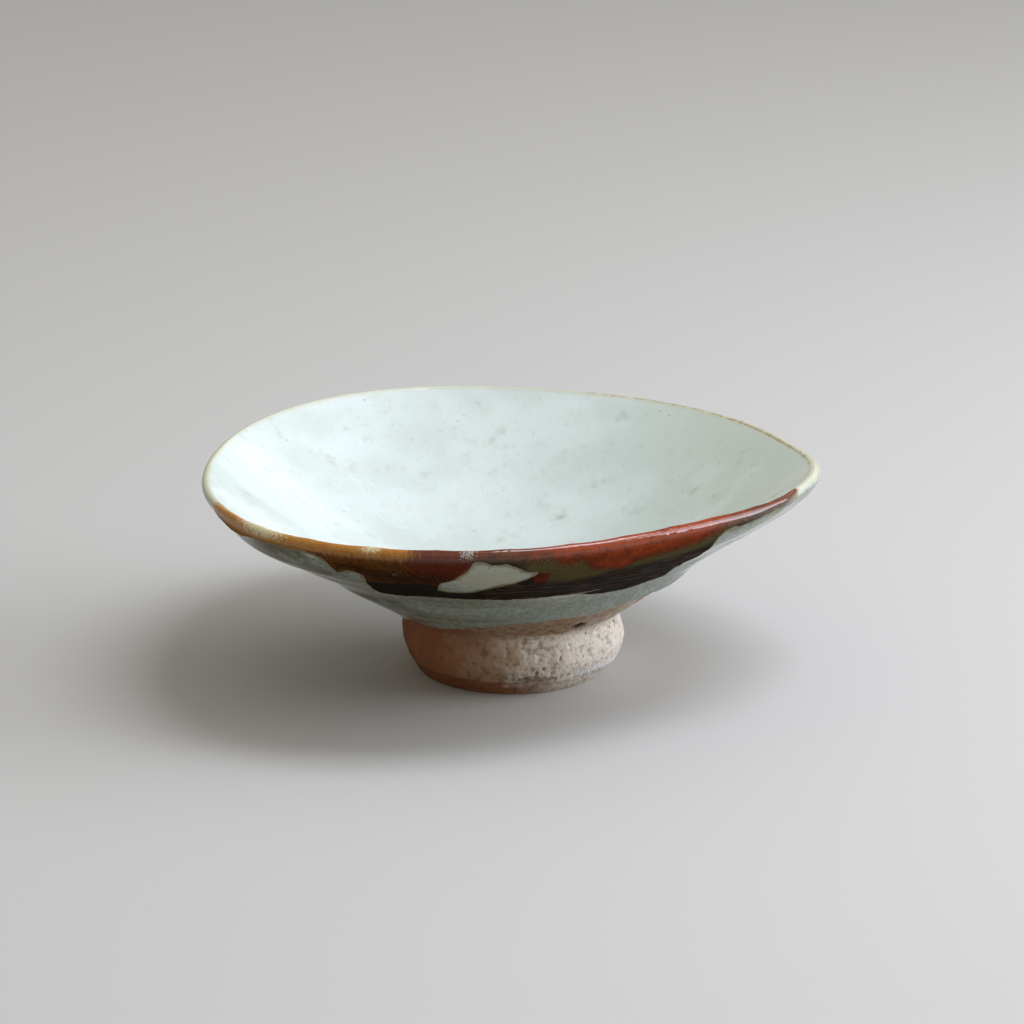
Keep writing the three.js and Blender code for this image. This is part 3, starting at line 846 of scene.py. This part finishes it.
class TEABOWL_OT_clay_bowl(bpy.types.Operator):
    """The thrown clay bowl, trimmed outside, bare above the foot and in the recess under it"""

    bl_idname = "teabowl.clay_bowl"
    bl_label = "Clay bowl"

    def execute(self, context):
        section, colours = sized(context)
        angle = round_angles()
        clay = section.clay_depth
        bare_from = section.joint_run - BARE_REACH
        covered = np.linspace(CLAY_MIDDLE - section.crest, bare_from, 26)
        runs = grid(angle, covered, np.arange(bare_from + 0.5, section.joint_run, CLAY_STEP))
        skin = section.place(runs, angle, clay)
        showing = smooth_step(bare_from, bare_from + 1, runs)
        relief, pit = (showing * values for values in clay_relief(skin))
        slit = slit_share(angle, np.hypot(skin[..., 0], skin[..., 1]), skin[..., 2])
        outside = section.place(runs, angle, clay - relief + SLIT_DEPTH * slit)
        under, rough, rough_pit = self.underside(clay - BASE_DROP, clay, angle)
        rows = lifted(section, np.vstack([outside, under]))
        # Painted shade: the pits darker and the slit nearly black
        deep = np.maximum(pit, SLIT_PAINTED_SHADE * slit)
        fields = clay_fields(rows, np.vstack([relief, rough]), np.vstack([deep, rough_pit]))
        material = stoneware("bare_stoneware_bowl", colours)
        turned_piece("thrown_clay_bowl", rows, "clay_bowl", material, fields, poles=True)
        return {"FINISHED"}

    def underside(self, top, clay, angle):
        """The seat and the foot's recess with its nub, trimmed in a spiral, with their relief and pits."""
        knee = JOINT_RADIUS + (top - clay * math.hypot(1, LOW_SLOPE)) / LOW_SLOPE
        seat = [(knee, top), (RECESS_RADIUS + 1, top)]
        radius = np.arange(RECESS_RADIUS, 0.3, -CLAY_STEP)
        nub = NUB_HEIGHT * smooth_step(NUB_RADIUS, 0.5, radius)
        under = turned_about(np.vstack([seat, np.stack([radius, top - nub], -1)]), angle)
        spiral = np.sin(2 * math.pi * np.hypot(under[..., 0], under[..., 1]) / SPIRAL_SPACING + angle)
        rough, pit = clay_relief(under * (1, 1, 0) + (0, 0, 40))
        under[len(seat):, :, 2] -= SPIRAL_HEIGHT * spiral[len(seat):] + rough[len(seat):]
        return under, rough, pit


def through(points, count):
    """A smooth path through points, with each stretch steered by its neighbours."""
    points = np.array([points[0], *points, points[-1]], float)
    path = []
    for before, start, end, after in zip(points, points[1:], points[2:], points[3:]):
        leave, arrive = (end - before) / 6, (after - start) / 6
        path.append(bezier([start, start + leave, end - arrive, end], count)[:-1])
    return np.vstack([*path, points[-1:]])


def evenly(path, step):
    """The same path with points a step apart."""
    station = stretched(path)
    places = np.linspace(0, station[-1], int(station[-1] / step) + 1)
    return np.stack([np.interp(places, station, path[:, axis]) for axis in (0, 1)], -1)


class TEABOWL_OT_foot_ring(bpy.types.Operator):
    """The tall foot ring of coarse clay, bevelled at its base and luted on under the bowl"""

    bl_idname = "teabowl.foot_ring"
    bl_label = "Foot ring"

    def execute(self, context):
        section, colours = sized(context)
        angle = round_angles()
        joint = section.foot_height
        seat = joint - BASE_DROP
        path = self.outline(section, joint, seat)
        radius, height = path.T[..., None]
        turns = turned_about(path, angle)
        relief, pit = clay_relief(turns)
        outward = np.stack([np.gradient(path[:, 1]), -np.gradient(path[:, 0])], -1)
        outward /= np.hypot(*outward.T)[:, None]
        standing = smooth_step(0.0, 0.5, height)
        sway = FOOT_SWAY * np.sin(math.pi * np.clip(height / seat, 0, 1)) * np.cos(angle)
        slit = slit_share(angle, radius, height - joint)
        moved = standing * (relief + 0.22 * unevenness(turns, 14, 2, 3.0)) - SLIT_DEPTH * slit
        waver = 0.45 * unevenness(turns * (1, 1, 0), 7, 3, 17.0) * blob(height, FOOT_BEVEL[1], 2.0)
        rows = round_axis(
            radius + sway + outward[:, :1] * moved, angle, height + waver + outward[:, 1:] * moved)
        hidden = turned_about(np.array([(24.0, joint + 0.2), (RECESS_RADIUS + 4, seat + 0.3)]), angle)
        blank = 0 * hidden[..., 0]
        # Painted shade: the pits darker and the slit nearly black
        deep = np.maximum(pit, SLIT_PAINTED_SHADE * slit)
        rows, turns, relief, deep = (
            np.vstack(both) for both in ((rows, hidden), (turns, hidden), (relief, blank), (deep, blank)))
        material = stoneware("bare_stoneware_foot", colours)
        fields = clay_fields(turns, relief, deep)
        turned_piece("luted_foot_ring", rows, "foot_ring", material, fields)
        return {"FINISHED"}

    def outline(self, section, joint, seat):
        """Path round the ring's section, down the recess and up the side to the smeared clay."""
        low = [
            (RECESS_RADIUS, seat), (RECESS_RADIUS, RECESS_BEVEL), (RECESS_RADIUS + RECESS_BEVEL, 0),
            (FOOT_BASE_RADIUS, 0), FOOT_BEVEL,
        ]
        top = (JOINT_RADIUS + 0.05, joint - 1.2)
        clay_drop = section.clay_depth * math.hypot(1, LOW_SLOPE)
        smear_top = (SMEAR_RADIUS, joint + clay_drop + (SMEAR_RADIUS - JOINT_RADIUS) * LOW_SLOPE + 0.2)
        smear = bezier([top, (26.1, joint + 0.1), (26.9, joint + 0.9), smear_top], 24)
        parts = [(np.array(low), 0.3), (through([FOOT_BEVEL, FOOT_BELLY, top], 30), 0.3), (smear, 0.14)]
        low, side, smear = (evenly(part, step) for part, step in parts)
        path = np.vstack([low, side[1:], smear[1:]])
        path[1:-1] = (path[:-2] + path[1:-1] + path[2:]) / 3
        return path


class TEABOWL_OT_joint_slip(bpy.types.Operator):
    """The slip pressed out between bowl and foot ring"""

    bl_idname = "teabowl.joint_slip"
    bl_label = "Joint slip"

    def execute(self, context):
        section, _ = sized(context)
        angle = round_angles(240)
        knee = JOINT_RADIUS - BASE_DROP / LOW_SLOPE
        inner = RECESS_RADIUS + SLIP_INSET
        outer = JOINT_RADIUS - SLIP_INSET
        edge = -SLIP_INSET * LOW_SLOPE
        thick = SLIP_THICKNESS
        path = np.array([
            (inner, -BASE_DROP), (knee, -BASE_DROP), (outer - 0.3, edge - 0.2), (outer, edge - 0.3),
            (outer - 0.3, edge - 0.2 - thick), (knee, -BASE_DROP - thick), (inner, -BASE_DROP - thick),
        ])
        rows = turned_about(path, angle)
        pressed = 0.3 * unevenness(rows, 5, 2, 7.0)[3:4]
        rows[2:5, :, :2] *= 1 + pressed[..., None] / outer
        material = clay_slip("luting_slip")
        turned_piece("pressed_joint_slip", lifted(section, rows), "joint_slip", material, {})
        return {"FINISHED"}


def ash_fields(section, runs, angle, hem):
    """Fields for the ash glaze: where it thinned or stained beside the iron, and where shade and a highlight
    are painted on it.
    """
    degrees = np.degrees(angle) + 0 * runs
    edge = iron_distance(runs, angle, section)
    window = blob(degrees, -94, 10) * blob(runs, 11, 9)
    below_lip = smooth_step(0.3, 2.5, runs)
    # Partly a greyer glaze and partly painted shade on the down-facing outside wall, less in the window
    outside = below_lip * (1 - 0.7 * window)
    front = (runs > -1.5) * (degrees < 5) * (degrees > -175)
    far_side = smooth_step(-15, 10, degrees) * smooth_step(100, 60, degrees)
    left = smooth_step(-150, -156, degrees) + smooth_step(150, 170, degrees)
    radius = section.shaped_radius(section.spot(section.crest + runs)[..., 0], angle)
    return {
        "over_lip": np.abs(runs),
        "outside": outside,
        "hem": hem,
        "iron_gap": np.where(front, -edge, 9.0),
        "ochre_lip": far_side * blob(runs, -0.9 + 0.7 * smooth_step(20, 50, degrees), 0.6),
        "cream_lip": blob(runs, 0.7, 1.7) * (left + blob(degrees, 0, 13)),
        "shade": outside * blob(degrees, -150, 25),
        "weep": front * smooth_step(5.0, 0.3, -edge) * blob(degrees, -140, 15),
        "window": window,
        "spared": 3 * (1 - below_lip),
        # Painted highlight: a pale streak on the glaze beside the left iron dip
        "wet_streak": blob(-edge, 0.8, 0.6) * blob(degrees, -126, 2.4) * blob(runs, 6.5, 4.5),
        # Partly a greener glaze and partly painted shade on the inside's right wall, which faces away from
        # the boxes
        "sheltered": (1 - outside) * smooth_step(20, 65, radius * np.cos(angle)),
    }


# Rows of points: their step over the lip and how far down it goes, then from how far above the hem and
# at which distances from it the last rows lie, and how many rows are on the back of a coat
LIP_STEP = 0.16
LIP_END = 3.9
HEM_REACH = 3.0
BACK_ROWS = 14
HEM_STEPS = (2.6, 2.2, 1.8, 1.4, 1.1, 0.8, 0.55, 0.35, 0.2, 0.1, 0.03, 0)

# The hem of the outside coat rolls under over this height, stands out in a bead above it, and is sunk
# this far into the clay
HEM_ROLL = 0.55
HEM_BEAD = 0.28
HEM_SUNK = 0.15


class TEABOWL_OT_ash_glaze(bpy.types.Operator):
    """The pale ash glaze: one coat inside up to the crest of the lip, and one outside down to its hem"""

    bl_idname = "teabowl.ash_glaze"
    bl_label = "Ash glaze"

    def execute(self, context):
        section, colours = sized(context)
        material = ash_glaze("pale_ash_glaze", colours)
        angle = round_angles()
        self.make_inside(section, angle, material)
        self.make_outside(section, angle, material)
        return {"FINISHED"}

    def make_inside(self, section, angle, material):
        """From the middle of the floor to the crest of the lip, and back along the clay."""
        middle = GLAZE_MIDDLE - section.crest
        runs = grid(angle, np.arange(middle, -4, 0.8), np.arange(-3.8, -0.1, LIP_STEP), [-0.02, 0])
        face = section.place(runs, angle, -throwing_marks(runs, angle, section))
        back_runs = grid(angle, np.linspace(0, middle, BACK_ROWS))
        back = section.place(back_runs, angle, section.glaze)
        both = np.vstack([runs, back_runs])
        fields = ash_fields(section, both, angle, 30.0 + 0 * both)
        rows = lifted(section, np.vstack([face, back]))
        turned_piece("ash_glaze_inside", rows, "inside_glaze", material, fields, poles=True)

    def make_outside(self, section, angle, material):
        """From the crest of the lip to the hem, whose line wavers, and back along the clay."""
        waver = 0.9 * unevenness(round_axis(30.0, angle, 0.0), 6, 4, 11.0)
        hem_run = section.joint_run - np.maximum(between(GLAZE_LINE, angle, smooth=True) + waver, 0.9)
        near_lip = grid(angle, [0, 0.02], np.arange(LIP_STEP, LIP_END, LIP_STEP))
        down = LIP_END + (hem_run - HEM_REACH - LIP_END) * np.linspace(0, 1, 96)[1:, None]
        runs = np.vstack([near_lip, down, hem_run - np.array(HEM_STEPS)[:, None]])
        hem = hem_run - runs
        stop = section.clay_depth + HEM_SUNK
        curl = 1 - np.sqrt(1 - np.clip(1 - hem / HEM_ROLL, 0, 1) ** 2)
        bead = HEM_BEAD * smooth_step(0.2, 1.3, hem) * smooth_step(5.0, 1.5, hem)
        depth = stop * curl - bead - throwing_marks(runs, angle, section) * smooth_step(0, 1.5, hem)
        face = section.place(runs, angle, depth)
        back_runs = hem_run * np.linspace(1, 0, BACK_ROWS)[:, None]
        back = section.place(back_runs, angle, section.glaze)
        back[0] = section.place(back_runs[0], angle, stop)
        fields = ash_fields(section, np.vstack([runs, back_runs]), angle, np.vstack([hem, 0 * back_runs]))
        rows = lifted(section, np.vstack([face, back]))
        turned_piece("ash_glaze_outside", rows, "outside_glaze", material, fields)


def iron_areas(section, runs, angle, edge):
    """Fields for the iron glazes: where each colour lies, before noise breaks its borders."""
    degrees = np.degrees(angle) + 0 * runs

    def area(middle, width, run, reach):
        return blob(degrees, middle, width) * blob(runs, run, reach)

    left_end = smooth_step(-104.5, -110, degrees)
    far_left = smooth_step(-124, -130, degrees)
    fringe = (
        smooth_step(2.2, 0.0, edge) * area(-98.5, 3.2, 8.0, 5.0)
        + smooth_step(1.4, 0.0, edge) * area(-87.5, 4.0, 5.5, 2.5)
        + 0.6 * smooth_step(0.7, 0.0, edge) * smooth_step(6, 9, runs)
        + smooth_step(3.0, 0.5, edge) * area(-120, 4.5, 7.0, 3.0))
    return {
        "run": runs,
        "turn": np.radians(degrees) * section.rim_radius,
        "gloss": 0.06 + 0.94 * blob(runs, 1.3, 1.0),
        "golden": left_end * smooth_step(3.6, 1.2, runs) + far_left * smooth_step(8, 2.5, runs),
        "maroon": smooth_step(-111, -105.5, degrees) * smooth_step(12.5, 7, runs),
        "dark": area(-108, 9.5, 9.5, 4.2) + 0.7 * area(-119, 5, 6.0, 2.5),
        "pool": runs - between(POOL_LINE, angle),
        "fleck": 1.3 * area(-137, 9, 0.8, 1.8) + 1.2 * area(-114.5, 2.6, 0.8, 1.2),
        "sparkle": area(-111, 3.2, 7.5, 2.4),
        "crystal": area(-97.8, 2.0, 0.9, 1.7) + 0.8 * area(-90.5, 1.0, 0.3, 1),
        "rust": between(RUST_LINE, angle) - runs,
        "olive": between(OLIVE_LINE, angle) - runs,
        "patch": area(-84.0, 2.7, 10.2, 5.0),
        "fringe": fringe,
        "streak": blob(runs, 26.8, 0.8) * smooth_step(-80, -76, degrees) * smooth_step(-63, -68, degrees),
    }


def sheet_faces(kept, rows, columns):
    """Faces of a closed sheet over the kept quads: its face, its back below and walls along the border."""
    front = quads(rows, columns, wrapped=False)[kept]
    count = rows * columns
    sides = np.vstack([np.stack([front[:, corner], front[:, (corner + 1) % 4]], -1) for corner in range(4)])
    keys = sides[:, 0] * count + sides[:, 1]
    border = sides[~np.isin(keys, sides[:, 1] * count + sides[:, 0])]
    walls = np.stack([border[:, 1], border[:, 0], border[:, 0] + count, border[:, 1] + count], -1)
    return np.vstack([front, front[:, ::-1] + count, walls])


# The iron glaze is thicker over the lip and in a bead along its edge. Its edge is sunk this far into the
# ash glaze, and its back lies this far below the ash glaze's skin
IRON_LIP = 0.4
IRON_BEAD = 0.2
IRON_SUNK = 0.16
IRON_BACK = 0.35

# Angle between columns of points on the iron glaze
IRON_STEP = math.radians(0.36)


class TEABOWL_OT_iron_glaze(bpy.types.Operator):
    """The two dips of iron glaze over the front of the lip, with a window left between them"""

    bl_idname = "teabowl.iron_glaze"
    bl_label = "Iron glaze"

    def execute(self, context):
        section, colours = sized(context)
        dips = [
            ("iron_glaze_left", "iron_dip_left", "ochre_iron_glaze", ochre_iron_glaze, -167, 0),
            ("iron_glaze_right", "iron_dip_right", "rust_iron_glaze", rust_iron_glaze, 0, 253),
        ]
        for name, replaced, slot, material, first, last in dips:
            angle = math.radians(DIP_SPLIT) + IRON_STEP * np.arange(first, last + 1)
            self.make_dip(section, angle, name, replaced, slot, material(slot + "_over_ash", colours))
        return {"FINISHED"}

    def make_dip(self, section, angle, name, replaced, slot, material):
        runs = grid(angle, np.arange(-2.0, 3.0, LIP_STEP), np.arange(3.0, 38.5, 0.42))
        edge = iron_distance(runs, angle, section)
        fields = iron_areas(section, runs, angle, edge)
        points = section.place(runs, angle, 0.0)
        rise = smooth_step(-0.35, 1.5, edge)
        bead = IRON_BEAD * blob(edge, 1.4, 0.9) * smooth_step(2.0, 6.0, runs)
        crust = np.clip(fields["crystal"], 0, 1) * 0.25 * np.abs(unevenness(points, 0.9, 3, 13.0))
        ripple = (0.04 + 0.035 * smooth_step(2.5, 6.0, runs)) * unevenness(points, 1.7, 3, 15.0)
        coat = section.iron + IRON_LIP * blob(runs, 0.3, 1.7) + ripple + crust
        thickness = rise * (coat + IRON_SUNK) + bead - IRON_SUNK
        face = section.place(runs, angle, -throwing_marks(runs, angle, section) - thickness)
        back = section.place(runs, angle, IRON_BACK)
        reaches = edge > -0.55
        corners = reaches[:-1, :-1] & reaches[1:, :-1] & reaches[:-1, 1:] & reaches[1:, 1:]
        faces = sheet_faces(corners.ravel(), *runs.shape)
        used, renumbered = np.unique(faces, return_inverse=True)
        stacked = np.vstack([face.reshape(-1, 3), back.reshape(-1, 3)])[used]
        fields = {field: np.tile(np.ravel(values), 2)[used] for field, values in fields.items()}
        make_piece(name, lifted(section, stacked), renumbered.reshape(faces.shape), replaced, material,
                   fields, sharp=60)


# The camera that took the photograph, in millimetres in the frame
CAMERA_PLACE = (-0.31, -1042.9, 358.0)
CAMERA_AIM = (-0.31, 0.0, 39.1)
LENS = 105.0
SENSOR = 24.0

# The floor reaches this many metres each way. It throws back less light than it shows
FLOOR_REACH = 12.0
FLOOR_LIT = "#8C8983"
FLOOR_SEEN = "#C8C6C2"

# Soft boxes on the right, behind and above: name, middle, width, height, tilt up from lying flat and turn
# about the upright, both in degrees, and brightness. The tall one fades out towards the back.
BOX_COLOUR = "#EBF0FF"
SOFT_BOXES = [
    ("window_box", (900.0, 50.0, 305.0), 800.0, 350.0, 90, 90, 6.0),
    ("tall_box", (900.0, 0.0, 700.0), 700.0, 440.0, 90, 90, 3.0),
    ("tall_box_fade_1", (900.0, 450.0, 700.0), 200.0, 440.0, 90, 90, 1.6),
    ("tall_box_fade_2", (900.0, 650.0, 700.0), 200.0, 440.0, 90, 90, 1.0),
    ("tall_box_fade_3", (900.0, 850.0, 700.0), 200.0, 440.0, 90, 90, 0.5),
    ("far_box", (980.0, 2500.0, 1045.0), 1040.0, 950.0, 90, 180, 0.75),
    ("top_box", (430.0, -100.0, 950.0), 660.0, 380.0, 0, 0, 8.0),
]

# The room gives soft light from all round, more and cooler from above on the boxes' side
ROOM_BRIGHTEST_FROM = (0.45, 0.1, 0.88)
ROOM_BRIGHTNESS = 0.56
ROOM_BRIGHT_SIDE = "#FBFAF2"
ROOM_DIM_SIDE = "#A89C88"


class TEABOWL_OT_stage(bpy.types.Operator):
    """Pale floor, soft boxes on the right, above and behind, soft room light, and the camera"""

    bl_idname = "teabowl.stage"
    bl_label = "Stage"

    def execute(self, context):
        scene = context.scene
        scene.view_settings.view_transform = "Standard"
        self.add_floor(scene)
        self.add_boxes(scene)
        self.add_world(scene)
        self.add_camera(scene)
        return {"FINISHED"}

    def add_floor(self, scene):
        mesh = bpy.data.meshes.new("floor")
        corners = [(-1, -1), (1, -1), (1, 1), (-1, 1)]
        mesh.from_pydata([(FLOOR_REACH * x, FLOOR_REACH * y, 0) for x, y in corners], [], [(0, 1, 2, 3)])
        material = bpy.data.materials.new("pale_studio_floor")
        tree = empty_tree(material)
        path = node(tree, "ShaderNodeLightPath").outputs
        seen = path["Is Camera Ray"]
        for other in ("Is Glossy Ray", "Is Transmission Ray"):
            seen = node(tree, "ShaderNodeMath", {0: seen, 1: path[other]}, operation="MAXIMUM").outputs[0]
        tone = node(tree, "ShaderNodeMix", {
            MIX_SHARE: seen, MIX_BELOW: (*linear(FLOOR_LIT), 1), MIX_ABOVE: (*linear(FLOOR_SEEN), 1),
        }, data_type="RGBA")
        shader = node(tree, "ShaderNodeBsdfPrincipled", {
            "Base Color": tone.outputs[MIX_RESULT], "Roughness": 0.9})
        node(tree, "ShaderNodeOutputMaterial", {"Surface": shader.outputs["BSDF"]})
        mesh.materials.append(material)
        floor = bpy.data.objects.new("floor", mesh)
        scene.collection.objects.link(floor)

    def add_boxes(self, scene):
        for name, middle, width, height, tilt, turn, brightness in SOFT_BOXES:
            light = bpy.data.lights.new(name, "AREA")
            light.shape = "RECTANGLE"
            light.size = width * MM
            light.size_y = height * MM
            light.color = linear(BOX_COLOUR)
            # An area light's power spreads over its face and half of all directions
            light.energy = brightness * light.size * light.size_y * math.pi
            box = bpy.data.objects.new(name, light)
            box.location = Vector(middle) * MM
            box.rotation_euler = (math.radians(tilt), 0, math.radians(turn))
            box.visible_camera = False
            scene.collection.objects.link(box)

    def add_world(self, scene):
        world = bpy.data.worlds.new("studio_room")
        tree = empty_tree(world)
        towards = node(tree, "ShaderNodeTexCoord").outputs["Generated"]
        brightest = Vector(ROOM_BRIGHTEST_FROM).normalized()
        facing = node(tree, "ShaderNodeVectorMath", {0: towards, 1: brightest}, operation="DOT_PRODUCT")
        share = node(tree, "ShaderNodeMapRange", {"Value": facing.outputs["Value"], "From Min": -1.0})
        tone = node(tree, "ShaderNodeMix", {
            MIX_SHARE: share.outputs[0], MIX_BELOW: (*linear(ROOM_DIM_SIDE), 1),
            MIX_ABOVE: (*linear(ROOM_BRIGHT_SIDE), 1),
        }, data_type="RGBA")
        background = node(tree, "ShaderNodeBackground", {
            "Color": tone.outputs[MIX_RESULT], "Strength": ROOM_BRIGHTNESS})
        node(tree, "ShaderNodeOutputWorld", {"Surface": background.outputs["Background"]})
        scene.world = world

    def add_camera(self, scene):
        data = bpy.data.cameras.new("camera")
        data.lens = LENS
        data.sensor_fit = "HORIZONTAL"
        data.sensor_width = SENSOR
        data.clip_end = 50
        camera = bpy.data.objects.new("camera", data)
        place, aim = Vector(CAMERA_PLACE) * MM, Vector(CAMERA_AIM) * MM
        camera.location = place
        camera.rotation_euler = (aim - place).to_track_quat("-Z", "Y").to_euler()
        scene.collection.objects.link(camera)
        scene.camera = camera


OPERATORS = (
    TEABOWL_OT_clay_bowl, TEABOWL_OT_foot_ring, TEABOWL_OT_joint_slip, TEABOWL_OT_ash_glaze,
    TEABOWL_OT_iron_glaze, TEABOWL_OT_stage,
)


class TEABOWL_PT_panel(bpy.types.Panel):
    """Lists the bowl's sizes, colours and pieces"""

    bl_idname = "TEABOWL_PT_panel"
    bl_label = "Tea bowl"
    bl_space_type = "VIEW_3D"
    bl_region_type = "UI"
    bl_category = "Tea bowl"

    def draw(self, context):
        for settings in (context.scene.teabowl_sizes, context.scene.teabowl_colours):
            for name in settings.__annotations__:
                self.layout.prop(settings, name)
        for operator in OPERATORS:
            self.layout.operator(operator.bl_idname)


CLASSES = (BowlSizes, BowlColours, *OPERATORS, TEABOWL_PT_panel)


def register():
    """Registers the classes and the bowl's settings."""
    for cls in CLASSES:
        bpy.utils.register_class(cls)
    bpy.types.Scene.teabowl_sizes = PointerProperty(type=BowlSizes)
    bpy.types.Scene.teabowl_colours = PointerProperty(type=BowlColours)


def unregister():
    """Takes all of it out again."""
    del bpy.types.Scene.teabowl_colours
    del bpy.types.Scene.teabowl_sizes
    for cls in reversed(CLASSES):
        bpy.utils.unregister_class(cls)


def main():
    """Builds every piece and the stage."""
    register()
    for operator in OPERATORS:
        group, name = operator.bl_idname.split(".")
        getattr(getattr(bpy.ops, group), name)()


if __name__ == "__main__":
    main()
